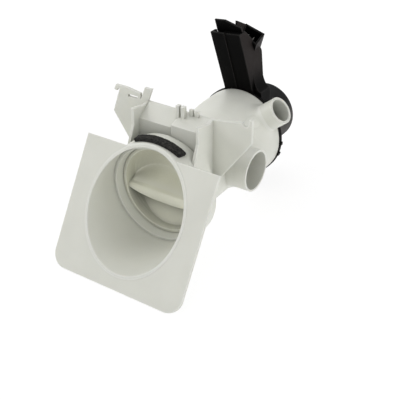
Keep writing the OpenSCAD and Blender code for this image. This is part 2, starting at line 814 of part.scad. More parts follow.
// Tower over the motor with the connector shroud at its top.
module connector_tower() color(motor_black) {
    inner_w = shroud_w - 2 * shroud_wall;
    inner_d = shroud_d - 2 * shroud_wall;
    difference() {
        union() {
            in_tower() {
                tower_channel();
                across_x(tower_split - tower_wall, tower_right) tower_side();
                across_x(tower_left + back_inset, tower_split) tower_back();
                across_x(fence_x[0], fence_x[1]) shroud_fence();
                tower_flare();
            }
            in_shroud()
                translate([-shroud_w / 2, -shroud_d / 2, -shroud_h]) cube([shroud_w, shroud_d, shroud_h]);
        }
        in_shroud() translate([-inner_w / 2, -inner_d / 2, -shroud_depth])
            cube([inner_w, inner_d, shroud_depth + cut]);
        along_y(plate_back - cut) cylinder(r = motor_r + push_fit, h = motor_l);
        along_y(chamber_l) cylinder(r = volute_r + free_gap, h = volute_l + push_fit);
        along_y(motor_y - cut) cylinder(r = plate_r + push_fit, h = cut + motor_plate_t + push_fit);
    }
}

// Shaft of the rotor.
module rotor_shaft() color(steel)
    along_y(shaft_front) cylinder(r = shaft_r, h = rear_seat_y + rear_seat_l - 0.5 - shaft_front);

// Plastic core that carries the magnet on the shaft.
module magnet_core() color(nylon)
    ring(magnet_y, magnet_l, core_r, shaft_r + seat_fit);

// Ring magnet.
module rotor_magnet() color(graphite)
    ring(magnet_y, magnet_l, magnet_r, core_r + seat_fit);

// Washer between the drive dog and the front bearing.
module thrust_washer() color(nylon)
    ring(washer_y, washer_l, washer_r, shaft_r + seat_fit);

// Dog on the shaft that pushes the impeller round after some free turn.
module drive_dog() color(nylon) {
    ring(dog_y, dog_l, dog_sleeve_r, shaft_r + seat_fit);
    arc_ring(dog_y, dog_l, dog_r, shaft_r + cut / 2, -dog_angle / 2, dog_angle / 2);
}

// Impeller with straight blades, free to turn on the shaft until its dog meets the shaft's.
module impeller() color(nylon) {
    pocket_r = dog_r + free_gap;
    sleeve_r = dog_sleeve_r + free_gap;
    pocket_y = dog_y - free_gap;
    pocket_l = dog_l + free_gap + cut;
    key_from = dog_angle / 2 + rest_gap;
    key_to = key_from + dog_angle;
    difference() {
        along_y(blade_front) cylinder(r = hub_r, h = hub_back - blade_front);
        along_y(blade_front - cut) cylinder(r = shaft_r + running_fit, h = hub_back);
        along_y(pocket_y) cylinder(r = sleeve_r, h = pocket_l);
        arc_ring(pocket_y, pocket_l, pocket_r, dog_sleeve_r, key_to, key_from + 360);
    }
    for (i = [0 : impeller_blades - 1])
        along_y(blade_front) rotate([0, 0, i * 360 / impeller_blades])
            translate([hub_r - 0.5, -blade_t / 2, 0])
                cube([impeller_r - hub_r + 0.5, blade_t, hub_back - blade_front]);
}

front_spout();
filter_chamber();
volute_casing();
support_bracket();
foam_strip();
filter_seal();
filter_cap();
filter_basket();
motor_plate();
rotor_can();
plate_seal();
bearing_carrier();
front_bearing();
rear_bearing();
rear_bearing_mount();
pole_cup_front();
pole_cup_rear();
coil_bobbin();
coil_winding();
terminal_strips();
motor_cover();
connector_tower();
rotor_shaft();
magnet_core();
rotor_magnet();
thrust_washer();
drive_dog();
impeller();
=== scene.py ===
import json
import math

import bmesh
import bpy
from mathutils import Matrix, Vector, noise


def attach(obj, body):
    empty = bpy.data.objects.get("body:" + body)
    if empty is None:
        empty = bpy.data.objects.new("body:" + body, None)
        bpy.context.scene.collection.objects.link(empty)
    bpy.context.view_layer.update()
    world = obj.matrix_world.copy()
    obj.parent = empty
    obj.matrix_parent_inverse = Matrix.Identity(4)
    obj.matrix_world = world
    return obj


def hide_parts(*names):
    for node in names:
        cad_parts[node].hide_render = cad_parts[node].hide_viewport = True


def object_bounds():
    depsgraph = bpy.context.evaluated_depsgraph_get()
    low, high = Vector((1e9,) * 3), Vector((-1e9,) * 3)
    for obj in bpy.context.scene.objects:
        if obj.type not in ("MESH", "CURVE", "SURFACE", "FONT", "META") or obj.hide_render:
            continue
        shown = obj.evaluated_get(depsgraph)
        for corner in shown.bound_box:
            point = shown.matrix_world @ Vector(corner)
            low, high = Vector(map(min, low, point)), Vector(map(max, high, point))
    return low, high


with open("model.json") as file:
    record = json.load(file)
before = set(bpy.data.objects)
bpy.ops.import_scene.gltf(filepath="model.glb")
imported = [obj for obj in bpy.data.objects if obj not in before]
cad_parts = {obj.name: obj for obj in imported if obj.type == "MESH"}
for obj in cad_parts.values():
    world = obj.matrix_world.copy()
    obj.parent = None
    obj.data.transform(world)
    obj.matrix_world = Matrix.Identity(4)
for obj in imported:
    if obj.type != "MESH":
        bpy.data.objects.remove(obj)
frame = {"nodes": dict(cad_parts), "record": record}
cad_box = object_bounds()
cad = frame["nodes"]

# A millimetre in metres
MM = 0.001

# The photograph's camera: place in metres, turn round Z and height above level in degrees,
# lens and sensor in millimetres
CAMERA_PLACE = (0.30051, -0.37188, 0.31542)
CAMERA_TURN = 33.238
CAMERA_HEIGHT = 32.718
CAMERA_LENS = 71.31
SENSOR = 36.0

# White world: strength of the light that it gives, while it is seen at full white
WORLD_LIGHT = 0.16

# Floor in metres, and its own white: the share of it that is seen near the object, the share of it
# in the light that the floor gives back, its strength, and the distances over which the first grows to 1
FLOOR_SIZE = 6.0
FLOOR_GAP = 0.0003
FLOOR_COLOUR = (0.88, 0.88, 0.88)
FLOOR_ROUGHNESS = 0.9
FLOOR_SPECULAR = 0.1
FLOOR_WHITE = 0.72
FLOOR_GLOW = 0.41
FLOOR_STRENGTH = 1.2
FLOOR_FADE = (0.45, 1.4)

# Soft square lamps: name, place in metres, power in watts
LAMPS = [
    ("front_high", (0.10, -0.85, 0.95), 3.8),
    ("left_front", (-1.00, -0.35, 0.85), 6.0),
    ("left_low", (-1.20, 0.05, 0.25), 1.3),
    ("left_back", (-0.75, 0.65, 0.80), 2.3),
    ("right_low", (1.05, 0.25, 0.35), 2.4),
    ("right_front", (0.95, -0.35, 0.75), 1.6),
    ("right_floor", (1.00, -0.30, -0.01), 2.5),
    ("top", (-0.30, 0.40, 1.25), 1.5),
]
LAMP_WIDTH = 0.75
LAMP_AIM = (0.0, 0.07, 0.01)

# Moulded plastic's noises: scale per metre and detail, the span of the noise that is used, and the
# grain's depth in metres
DRIFT = (38.0, 3.0)
DRIFT_SPAN = (0.35, 0.65)
WEAR = (160.0, 4.0)
WEAR_SPAN = (0.3, 0.7)
FLOW = (90.0, 1.0)
GRAIN = (2600.0, 2.0)
GRAIN_DEPTH = 0.00006
# Its painted shade in corners and its pale edges (rubbed pale, also a painted highlight): reach in
# metres, width as a multiple of the rounded edge, and the spans of openness and bend over which they
# grow. Its painted sheen grows over a span of facing +X
CORNER_REACH = 0.0035
CORNER_SPAN = (0.25, 0.95)
PALE_WIDTH = 4
PALE_OUTER = (0.75, 0.98)
PALE_BEND = (0.80, 0.99)
SHEEN_FACING = (0.7, 0.98)
# Its scattered light, with the scale in metres, and the rays of each bevel and occlusion node
SCATTER_RADIUS = (1.0, 0.95, 0.8)
SCATTER_SCALE = 0.0015
RAY_SAMPLES = 6

# Other finishes: scale per metre and detail of noises, spans as above, and bumps as strength, depth
# and rounded edge in metres
CELLS = 1300.0
CELL_BUMP = (0.9, 0.0004)
DUST = (700.0, 4.0)
DUST_SPAN = (0.42, 0.72)
RUBBER_BLOOM = (120.0, 4.0)
RUBBER_BLOOM_SPAN = (0.4, 0.7)
RUBBER_ROUGHNESS = (0.55, 0.8)
RUBBER_GRAIN = 1500.0
RUBBER_BUMP = (0.25, 0.00005, 0.0002)
METAL_DETAIL = 4.0
METAL_BUMP = (0.3, 0.00003, 0.0002)
WIRE_TURNS = 900.0
WIRE_WAVER = 0.6
WIRE_BUMP = (0.8, 0.0002)

# Foam strip: place on the spout in millimetres and degrees, as in the part
FOAM_Y = 27.2
FOAM_L = 7.4
FOAM_R = 42.95
FOAM_T = 2.95
FOAM_FROM = -26.0
FOAM_TO = 30.0
# Its mesh step, rounded edges, slanted and shrunk ends, and pores: scale and weight of two noises
FOAM_STEP = 0.34
FOAM_ROUND = 0.9
FOAM_SLANT = 1.6
FOAM_END_SHRINK = 0.22
FOAM_END_REACH = 0.6
FOAM_PORE = 0.42
FOAM_PORE_ROOT = 0.5
FOAM_FINE = (1.9, 0.5)
FOAM_BROAD = (0.8, 0.6)

# Filter cap's dish and the rising top of its grip bar in millimetres, as in the part
DISH_R = 33.6
DISH_FLAT_R = 14.112
DISH_Y = 56.0
DISH_ROUND = 14.08
GRIP_FRONT = 39.0
GRIP_TOP = -4.6
GRIP_RISE = 7.0 / 18.0
# The hollow between them: its mesh step, top, reach, and how it is sunk at its edges and its root
BLEND_STEP = 0.8
BLEND_TOP = 20.0
BLEND_REACH = 0.95
BLEND_SUNK = 0.05
BLEND_FADE = 0.03
BLEND_ROOT = 0.4

# Casing, dome and outlet in millimetres and degrees, as in the part
VOLUTE_R = 38.0
DOME_Y = 134.0
DOME_RX = 24.24
DOME_RY = 49.5
OUTLET_Y = 137.2
OUTLET_RISE = 39.5
OUTLET_R = 11.2
# The outlet's root: width, height and run of its edges in front, and how these change round the outlet
ROOT_W = 9.0
ROOT_H = 7.0
ROOT_RUN = 3.0
ROOT_TAPER = 0.7
ROOT_SPREAD = 0.5
# How far it stands proud of the outlet, and how far its edges and its core lie inside the walls
ROOT_PROUD = 0.05
ROOT_TUCK = 0.35
ROOT_TUCK_POWER = 4
ROOT_TOP_SUNK = (0.2, 0.03)
ROOT_FOOT_SUNK = 0.12
ROOT_END_SUNK = 0.5
ROOT_CORE = (0.6, 1.4)
ROOT_STEPS = 12
ROOT_TURNS = 96

# Band over the dome where the chamber's tube ends, in millimetres
BAND_FROM = 108.8
BAND_TO = 116.0
BAND_PROUD = 0.06
BAND_SUNK = 0.12
BAND_SUNK_POWER = 3
BAND_ROOT = 0.8
BAND_ROWS = 16
BAND_TURNS = 144

# Tops of the bracket's cheeks beside the cross plate in millimetres, just inside the part's faces
CHEEK_X = (27.53, 29.67)
CHEEK_BACK = ((53.6, 55.65), (58.6, 56.5))
CHEEK_UNDER = 54.3

# Fairing between the right cheek's outer face and the spout's wall, in millimetres: the cheek's
# front edge as height and axial place, the walls as in the part, and the fairing's reach and end
FAIR_FRONT = ((40.0, 37.35), (27.1, 31.65), (12.0, 31.65))
FAIR_CHEEK_X = 29.7
FAIR_SPOUT_R = 42.86
FAIR_SPOUT_END = 43.2
FAIR_NECK = ((47.0, 39.4), (58.5, 30.9))
FAIR_END = 57.0
FAIR_BACK = 58.6
FAIR_REACH = 6.0
FAIR_START = 5.0
FAIR_LEAST = 0.01
FAIR_SUNK = 0.05
FAIR_FADE = 0.03
# Its root, inside the cheek, the spout's wall and the chamber's wall, and its mesh step
FAIR_ROOT_X = 29.2
FAIR_ROOT_R = 41.6
FAIR_IN_WALL = 1.0
FAIR_STEP = 0.7

# Rounded lip round the mouth in millimetres and degrees: the flange's slant, the mouth's radius
# and taper as in the part, and how far the lip stands proud at its bottom and top
FLANGE_SLANT = 31.4
MOUTH_R = 40.4
MOUTH_TAPER = 0.7 / 27.0
LIP_OUT_R = 42.72
LIP_INSET = 0.08
LIP_PROUD = (0.12, 0.6)
LIP_SUNK = 0.3
LIP_STEPS = 10
LIP_TURNS = 192


def material(name):
    """A new node material: the material, its tree and its shader."""
    made = bpy.data.materials.new(name)
    made.use_nodes = True
    tree = made.node_tree
    return made, tree, tree.nodes["Principled BSDF"]


def node(tree, kind, sockets=(), **settings):
    """A node with its settings, and with values or links on its input sockets."""
    made = tree.nodes.new(kind)
    for key, value in settings.items():
        setattr(made, key, value)
    for key, value in dict(sockets).items():
        if isinstance(value, bpy.types.NodeSocket):
            tree.links.new(value, made.inputs[key])
        else:
            made.inputs[key].default_value = value
    return made


def rgba(colour):
    return (*colour, 1.0)


def mix_colour(tree, share, first, second):
    """Mixes two colours or sockets by a share socket or number."""
    mixed = node(tree, "ShaderNodeMix", {0: share, 6: first, 7: second}, data_type="RGBA")
    return mixed.outputs[2]


def span(tree, value, low, high, start=0.0, end=1.0):
    """Maps a socket from the span of start to end on to the span of low to high."""
    return node(tree, "ShaderNodeMapRange", {
        "Value": value, "From Min": start, "From Max": end, "To Min": low, "To Max": high,
    }).outputs["Result"]


def calculate(tree, operation, first, second):
    """Socket of an operation on two sockets or numbers."""
    return node(tree, "ShaderNodeMath", {0: first, 1: second}, operation=operation).outputs[0]


def object_place(tree):
    """Socket of the place in the object's own metres."""
    return node(tree, "ShaderNodeTexCoord").outputs["Object"]


def surface_normal(tree):
    """Socket of the surface's true normal."""
    return node(tree, "ShaderNodeNewGeometry").outputs["Normal"]


def speckle(tree, scale, detail=2.0):
    """Noise in the object's own metres."""
    return node(tree, "ShaderNodeTexNoise", {
        "Vector": object_place(tree), "Scale": scale, "Detail": detail,
    }).outputs["Fac"]


def rounded_normal(tree, edge):
    """The surface's normal with its edges rounded."""
    return node(tree, "ShaderNodeBevel", {"Radius": edge}, samples=RAY_SAMPLES).outputs["Normal"]


def openness(tree, reach):
    """Socket that is 1 on open surfaces and falls in corners and hollows within a reach."""
    hidden = node(tree, "ShaderNodeAmbientOcclusion", {"Distance": reach}, samples=RAY_SAMPLES)
    return hidden.outputs["AO"]


def worn_edge_highlight(tree, edge, corner):
    """Socket that is 1 along outer edges, where handling rubs the surface pale and where a painted
    highlight stands in for light caught by the rounded edge.
    """
    bend = node(tree, "ShaderNodeVectorMath", {0: surface_normal(tree), 1: rounded_normal(tree, edge)},
                operation="DOT_PRODUCT").outputs["Value"]
    outer = span(tree, corner, 0.0, 1.0, *PALE_OUTER)
    return calculate(tree, "MULTIPLY", span(tree, bend, 1.0, 0.0, *PALE_BEND), outer)


def painted_side_sheen(tree, start, end):
    """Mask of a painted sheen standing in for light from the +X side: it grows from 0 at one height to 1
    at another, on faces towards +X only.
    """
    towards = node(tree, "ShaderNodeSeparateXYZ", {"Vector": surface_normal(tree)}).outputs["X"]
    height = node(tree, "ShaderNodeSeparateXYZ", {"Vector": object_place(tree)}).outputs["Z"]
    return calculate(tree, "MULTIPLY", span(tree, towards, 0.0, 1.0, *SHEEN_FACING),
                     span(tree, height, 0.0, 1.0, start, end))


def add_bump(tree, shader, height, strength, distance, edge=None):
    """Bump on the shader, over softly rounded edges where an edge is given."""
    sockets = {"Height": height, "Strength": strength, "Distance": distance}
    if edge:
        sockets["Normal"] = rounded_normal(tree, edge)
    bump = node(tree, "ShaderNodeBump", sockets)
    tree.links.new(bump.outputs["Normal"], shader.inputs["Normal"])


def moulded(name, colour, tint, shade, roughness, grain, specular=0.5, subsurface=0.0, edge=0.0005,
            pale=None, hollow_shade=None, bloom=None):
    """Injection-moulded plastic: slow colour drift, painted shade in corners, satin grain and flow marks.
    Pale is the colour of rubbed edges, which also serves as a painted edge highlight; hollow the colour,
    reach and span of painted shade in hollows; and bloom the colour of a painted sheen on faces towards
    +X and the two heights between which it grows."""
    made, tree, shader = material(name)
    drift = span(tree, speckle(tree, *DRIFT), 0.0, 1.0, *DRIFT_SPAN)
    body = mix_colour(tree, drift, rgba(colour), rgba(tint))
    # Painted sheen: a paler colour on faces towards +X, standing in for light from that side
    if bloom:
        sheen_colour, start, end = bloom
        body = mix_colour(tree, painted_side_sheen(tree, start, end), body, rgba(sheen_colour))
    # Painted shade: a darker colour in corners, where less light reaches
    corner = openness(tree, CORNER_REACH)
    body = mix_colour(tree, span(tree, corner, 1.0, 0.0, *CORNER_SPAN), body, rgba(shade))
    # Painted shade: a darker colour in deep hollows, where less light reaches
    if hollow_shade:
        hollow_shade_colour, reach, start, end = hollow_shade
        depth = span(tree, openness(tree, reach), 1.0, 0.0, start, end)
        body = mix_colour(tree, depth, body, rgba(hollow_shade_colour))
    # Pale rubbed edges, which also act as a painted highlight along outer edges
    if pale:
        body = mix_colour(tree, worn_edge_highlight(tree, PALE_WIDTH * edge, corner), body, rgba(pale))
    tree.links.new(body, shader.inputs["Base Color"])
    wear = span(tree, speckle(tree, *WEAR), *roughness, *WEAR_SPAN)
    tree.links.new(wear, shader.inputs["Roughness"])
    shader.inputs["Specular IOR Level"].default_value = specular
    if subsurface:
        shader.inputs["Subsurface Weight"].default_value = subsurface
        shader.inputs["Subsurface Radius"].default_value = SCATTER_RADIUS
        shader.inputs["Subsurface Scale"].default_value = SCATTER_SCALE
    flow = speckle(tree, *FLOW)
    fine = speckle(tree, *GRAIN)
    add_bump(tree, shader, calculate(tree, "ADD", fine, flow), grain, GRAIN_DEPTH, edge)
    return made


def foam(name, dark, light):
    """Open-cell foam: cells with paler walls."""
    made, tree, shader = material(name)
    cells = node(tree, "ShaderNodeTexVoronoi", {
        "Vector": object_place(tree), "Scale": CELLS,
    }).outputs["Distance"]
    dust = span(tree, speckle(tree, *DUST), 0.0, 1.0, *DUST_SPAN)
    tree.links.new(mix_colour(tree, dust, rgba(dark), rgba(light)), shader.inputs["Base Color"])
    shader.inputs["Roughness"].default_value = 0.95
    shader.inputs["Specular IOR Level"].default_value = 0.25
    add_bump(tree, shader, cells, *CELL_BUMP)
    return made


def rubber(name, colour, tint):
    """Moulded rubber: dull, with a faint bloom."""
    made, tree, shader = material(name)
    bloom = span(tree, speckle(tree, *RUBBER_BLOOM), 0.0, 1.0, *RUBBER_BLOOM_SPAN)
    tree.links.new(mix_colour(tree, bloom, rgba(colour), rgba(tint)), shader.inputs["Base Color"])
    tree.links.new(span(tree, bloom, *RUBBER_ROUGHNESS), shader.inputs["Roughness"])
    shader.inputs["Specular IOR Level"].default_value = 0.35
    add_bump(tree, shader, speckle(tree, RUBBER_GRAIN), *RUBBER_BUMP)
    return made


def metal(name, colour, tint, roughness, stretch, scale):
    """Bare metal with marks drawn out along one axis."""
    made, tree, shader = material(name)
    drawn = node(tree, "ShaderNodeMapping", {
        "Vector": object_place(tree), "Scale": stretch,
    }).outputs["Vector"]
    marks = node(tree, "ShaderNodeTexNoise", {
        "Vector": drawn, "Scale": scale, "Detail": METAL_DETAIL,
    }).outputs["Fac"]
    tree.links.new(mix_colour(tree, marks, rgba(colour), rgba(tint)), shader.inputs["Base Color"])
    tree.links.new(span(tree, marks, *roughness, *WEAR_SPAN), shader.inputs["Roughness"])
    shader.inputs["Metallic"].default_value = 1.0
    add_bump(tree, shader, marks, *METAL_BUMP)
    return made


def wound_wire(name, colour, tint):
    """Enamelled wire laid side by side round the axis."""
    made, tree, shader = material(name)
    turns = node(tree, "ShaderNodeTexWave", {
        "Vector": object_place(tree), "Scale": WIRE_TURNS, "Distortion": WIRE_WAVER,
    }, bands_direction="Y").outputs["Fac"]
    tree.links.new(mix_colour(tree, turns, rgba(tint), rgba(colour)), shader.inputs["Base Color"])
    shader.inputs["Metallic"].default_value = 0.85
    shader.inputs["Roughness"].default_value = 0.32
    add_bump(tree, shader, turns, *WIRE_BUMP)
    return made


# Each moulded finish's third colour is painted shade in corners; hollow adds painted shade in hollows,
# pale gives rubbed edges that also act as painted highlights, and bloom gives a painted sheen on faces
# towards +X
FINISHES = {
    "housing_white": moulded(
        "housing_white_look", (0.765, 0.77, 0.705), (0.735, 0.74, 0.675), (0.58, 0.58, 0.51),
        roughness=(0.36, 0.48), grain=0.16, specular=0.42, subsurface=0.12,
        pale=(0.88, 0.88, 0.83), hollow_shade=((0.50, 0.505, 0.46), 0.022, 0.15, 0.75)),
    "filter_white": moulded(
        "filter_white_look", (0.87, 0.87, 0.75), (0.84, 0.835, 0.715), (0.60, 0.59, 0.48),
        roughness=(0.30, 0.42), grain=0.14, specular=0.45, subsurface=0.15,
        pale=(0.90, 0.90, 0.82), hollow_shade=((0.24, 0.24, 0.20), 0.024, 0.18, 0.80)),
    "foam_black": foam("foam_black_look", (0.006, 0.006, 0.006), (0.055, 0.053, 0.047)),
    "seal_rubber": rubber("seal_rubber_look", (0.012, 0.012, 0.012), (0.03, 0.03, 0.03)),
    # Its bloom is a painted sheen on faces towards +X, growing upwards
    "motor_black": moulded(
        "motor_black_look", (0.0022, 0.0021, 0.0021), (0.0036, 0.0035, 0.0034), (0.001, 0.001, 0.001),
        roughness=(0.42, 0.56), grain=0.3, specular=0.03,
        pale=(0.03, 0.029, 0.028), bloom=((0.026, 0.022, 0.021), 0.043, 0.060)),
    # Its bloom is a painted sheen on faces towards +X, growing downwards
    "cover_grey": moulded(
        "cover_grey_look", (0.012, 0.012, 0.0125), (0.017, 0.017, 0.0175), (0.005, 0.005, 0.005),
        roughness=(0.50, 0.64), grain=0.5, specular=0.06, bloom=((0.085, 0.081, 0.078), 0.023, 0.007)),
    "bearing_graphite": moulded(
        "bearing_graphite_look", (0.05, 0.05, 0.052), (0.08, 0.08, 0.082), (0.02, 0.02, 0.02),
        roughness=(0.40, 0.55), grain=0.5, specular=0.4, edge=0.0002),
    "magnet_ferrite": moulded(
        "magnet_ferrite_look", (0.06, 0.06, 0.063), (0.085, 0.085, 0.09), (0.03, 0.03, 0.03),
        roughness=(0.35, 0.5), grain=0.5, edge=0.0003),
    "steel": metal(
        "steel_look", (0.58, 0.59, 0.60), (0.47, 0.48, 0.49),
        roughness=(0.22, 0.40), stretch=(1.0, 12.0, 1.0), scale=300.0),
    "contact_metal": metal(
        "contact_metal_look", (0.16, 0.155, 0.15), (0.11, 0.105, 0.10),
        roughness=(0.3, 0.46), stretch=(1.0, 1.0, 8.0), scale=400.0),
    "bobbin_plastic": moulded(
        "bobbin_plastic_look", (0.32, 0.38, 0.31), (0.27, 0.33, 0.26), (0.15, 0.18, 0.14),
        roughness=(0.35, 0.5), grain=0.3, edge=0.0003),
    "copper_wire": wound_wire("copper_wire_look", (0.72, 0.33, 0.14), (0.33, 0.12, 0.04)),
    "nylon": moulded(
        "nylon_look", (0.66, 0.66, 0.60), (0.60, 0.60, 0.53), (0.38, 0.37, 0.31),
        roughness=(0.34, 0.48), grain=0.2, specular=0.45, subsurface=0.2, edge=0.0003),
}


def dress_nodes():
    """Gives every CAD node the finish of its material slot."""
    for entry in frame["record"]["subparts"]:
        slots = cad[entry["node"]].data.materials
        slots.clear()
        slots.append(FINISHES[entry["material_slot"]])


def add_piece(name, mesh, slot, body):
    """Turns a bmesh into a piece with a finish, riding on a body."""
    bmesh.ops.recalc_face_normals(mesh, faces=mesh.faces)
    data = bpy.data.meshes.new(name)
    mesh.to_mesh(data)
    mesh.free()
    data.materials.append(FINISHES[slot])
    piece = bpy.data.objects.new(name, data)
    bpy.context.scene.collection.objects.link(piece)
    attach(piece, body)
    return piece


def clamp(value):
    return max(0.0, min(1.0, value))


def soft_min(a, b, reach):
    """The lesser of two values, rounded where they come close."""
    share = clamp(0.5 + 0.5 * (b - a) / reach)
    return b + (a - b) * share - reach * share * (1 - share)


def join_rings(mesh, rings, smooth=0, sharp=()):
    """Faces between rings of corners in a row. The first faces of each ring are smooth, and edges
    from one ring to the next are sharp at some corners."""
    size = len(rings[0])
    for a, b in zip(rings, rings[1:]):
        for k in range(size):
            after = (k + 1) % size
            face = mesh.faces.new((a[k], a[after], b[after], b[k]))
            face.smooth = k < smooth
        for k in sharp:
            mesh.edges.get((a[k], b[k])).smooth = False


def close_ends(mesh, rings):
    """Faces over the first and the last ring."""
    mesh.faces.new(rings[0][::-1])
    mesh.faces.new(rings[-1])


def close_sheet(mesh, front, back):
    """Faces of a closed lens from two grids of corners, with a rim along their open edges."""
    edges = {}
    for i, k in front:
        cell = [(i, k), (i + 1, k), (i + 1, k + 1), (i, k + 1)]
        if not all(key in front for key in cell):
            continue
        mesh.faces.new([front[key] for key in cell]).smooth = True
        mesh.faces.new([back[key] for key in reversed(cell)])
        for a, b in zip(cell, cell[1:] + cell[:1]):
            if (b, a) in edges:
                del edges[b, a]
            else:
                edges[a, b] = True
    for a, b in edges:
        mesh.faces.new((front[b], front[a], back[a], back[b]))
        mesh.edges.get((front[a], front[b])).smooth = False
    loose = [vert for vert in mesh.verts if not vert.link_faces]
    bmesh.ops.delete(mesh, geom=loose, context="VERTS")


def rounded_section(width, height, radius, step):
    """Closed loop of points round a bar's section, with rounded outer corners: (across, up)."""
    loop = [(x * step, 0.0) for x in range(int(width / step) + 1)]
    steps = max(3, int(radius * math.pi / 2 / step) + 1)
    for i in range(steps + 1):
        a = math.radians(90 * i / steps)
        loop.append((width - radius + radius * math.cos(a), height - radius + radius * math.sin(a)))
    flat = int((width - 2 * radius) / step)
    for i in range(flat):
        loop.append((width - radius - (i + 1) * (width - 2 * radius) / (flat + 1), height))
    for i in range(steps + 1):
        a = math.radians(90 + 90 * i / steps)
        loop.append((radius + radius * math.cos(a), height - radius + radius * math.sin(a)))
    return loop


def foam_strip():
    """Bar of open-cell foam laid over the spout, with pores and with slightly shrunk cut ends."""
    section = rounded_section(FOAM_L, FOAM_T, FOAM_ROUND, FOAM_STEP)
    arc = math.radians(FOAM_TO - FOAM_FROM) * (FOAM_R + FOAM_T)
    count = int(arc / FOAM_STEP)
    mesh = bmesh.new()
    rings = []
    for i in range(count + 1):
        t = i / count
        end = min(t, 1 - t) * arc
        shrink = 1 - FOAM_END_SHRINK * math.exp(-end / FOAM_END_REACH)
        ring = []
        for across, up in section:
            aside = across / FOAM_L - 0.5
            slant = aside * FOAM_SLANT * (1 - 2 * t)
            angle = math.radians(FOAM_FROM + (FOAM_TO - FOAM_FROM) * t) - math.radians(slant)
            y = FOAM_Y + FOAM_L / 2 + (across - FOAM_L / 2) * shrink
            r = FOAM_R + up * shrink
            at = Vector((r * math.sin(angle), y, r * math.cos(angle)))
            fine = FOAM_FINE[1] * noise.noise(at * FOAM_FINE[0])
            broad = FOAM_BROAD[1] * noise.noise(at * FOAM_BROAD[0])
            depth = FOAM_PORE * clamp(0.5 + fine + broad) * min(1.0, up / FOAM_PORE_ROOT)
            y -= depth * aside
            r -= depth * up / FOAM_T
            ring.append(mesh.verts.new((MM * r * math.sin(angle), MM * y, MM * r * math.cos(angle))))
        rings.append(ring)
    join_rings(mesh, rings)
    close_ends(mesh, rings)
    piece = add_piece("foam_strip_soft", mesh, "foam_black", "housing")
    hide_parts("foam_strip")


def dish_depth(x, z):
    """Axial place of the cap's dish at a point seen from the front."""
    out = max(0.0, math.hypot(x, z) - DISH_FLAT_R) / (DISH_R - DISH_FLAT_R)
    return DISH_Y - DISH_ROUND * (1 - math.sqrt(max(0.0, 1 - out * out)))


def grip_depth(z):
    """Axial place of the grip bar's rising top at a height."""
    return GRIP_FRONT + (z - GRIP_TOP) / GRIP_RISE


def grip_blend():
    """Round hollow where the grip bar's top runs up into the dish."""
    mesh = bmesh.new()
    front, back = {}, {}
    columns = int(DISH_R / BLEND_STEP)
    rows = int((BLEND_TOP - GRIP_TOP) / BLEND_STEP)
    for i in range(-columns, columns + 1):
        for k in range(rows + 1):
            x = i * BLEND_STEP
            z = GRIP_TOP + k * BLEND_STEP
            if math.hypot(x, z) > DISH_R - BLEND_STEP / 2:
                continue
            wall = dish_depth(x, z)
            bar = grip_depth(z)
            near = min(wall, bar)
            soft = soft_min(wall, bar, BLEND_REACH * (dish_depth(x, GRIP_TOP) - GRIP_FRONT))
            fade = max(0.0, 1 - (near - soft) / BLEND_FADE)
            front[i, k] = mesh.verts.new((MM * x, MM * (soft + BLEND_SUNK * fade), MM * z))
            back[i, k] = mesh.verts.new((MM * x, MM * (near + BLEND_ROOT), MM * z))
    close_sheet(mesh, front, back)
    add_piece("grip_blend", mesh, "filter_white", "filter")


def casing_r(y):
    """Outer radius of the volute casing at an axial place."""
    if y >= DOME_Y:
        return VOLUTE_R
    return VOLUTE_R - DOME_RX * (1 - math.sqrt(1 - ((DOME_Y - y) / DOME_RY) ** 2))


def casing_seat(turn, r):
    """Distance along the outlet's axis at which the casing lies, at a turn and radius round that axis."""
    across = r * math.cos(turn)
    return math.sqrt(casing_r(OUTLET_Y + r * math.sin(turn)) ** 2 - across * across)


def root_outline(turn):
    """Section of the outlet's root at a turn round the outlet: (radius, distance along its axis)."""
    ahead = 0.5 - 0.5 * math.sin(turn)
    share = ahead ** ROOT_TAPER
    foot = OUTLET_R + ROOT_PROUD - ROOT_TUCK * (1 - ahead) ** ROOT_TUCK_POWER
    width = ROOT_W * share * (1 + ROOT_SPREAD * max(0.0, -math.cos(turn)))
    height = ROOT_H * share
    top = casing_seat(turn, foot) + height
    outline = [(foot - ROOT_TOP_SUNK[0], top + ROOT_RUN), (foot - ROOT_TOP_SUNK[1], top + ROOT_RUN / 3)]
    for k in range(ROOT_STEPS + 1):
        a = math.radians(90) * k / ROOT_STEPS
        r = foot + width * (1 - math.cos(a))
        sunk = ROOT_FOOT_SUNK * math.sin(a) ** 2
        outline.append((r, casing_seat(turn, r) + height * (1 - math.sin(a)) - sunk))
    wide = foot + width + ROOT_RUN * share
    outline.append((wide, casing_seat(turn, wide) - ROOT_END_SUNK))
    outline.append((foot - ROOT_CORE[0], casing_seat(turn, foot) - ROOT_CORE[1]))
    return outline


def outlet_root():
    """Round root that leads the casing's wall into the outlet, its edges sunk in both."""
    rise = math.radians(OUTLET_RISE)
    along = Vector((math.cos(rise), 0.0, math.sin(rise)))
    up = Vector((-math.sin(rise), 0.0, math.cos(rise)))
    mesh = bmesh.new()
    rings = []
    for i in range(ROOT_TURNS):
        turn = 2 * math.pi * i / ROOT_TURNS
        ring = []
        for r, d in root_outline(turn):
            axial = Vector((0, OUTLET_Y + r * math.sin(turn), 0))
            ring.append(mesh.verts.new(MM * (along * d + up * (r * math.cos(turn)) + axial)))
        rings.append(ring)
    last_smooth = len(rings[0]) - 2
    join_rings(mesh, rings + rings[:1], last_smooth, (0, last_smooth))
    add_piece("outlet_root", mesh, "housing_white", "housing")


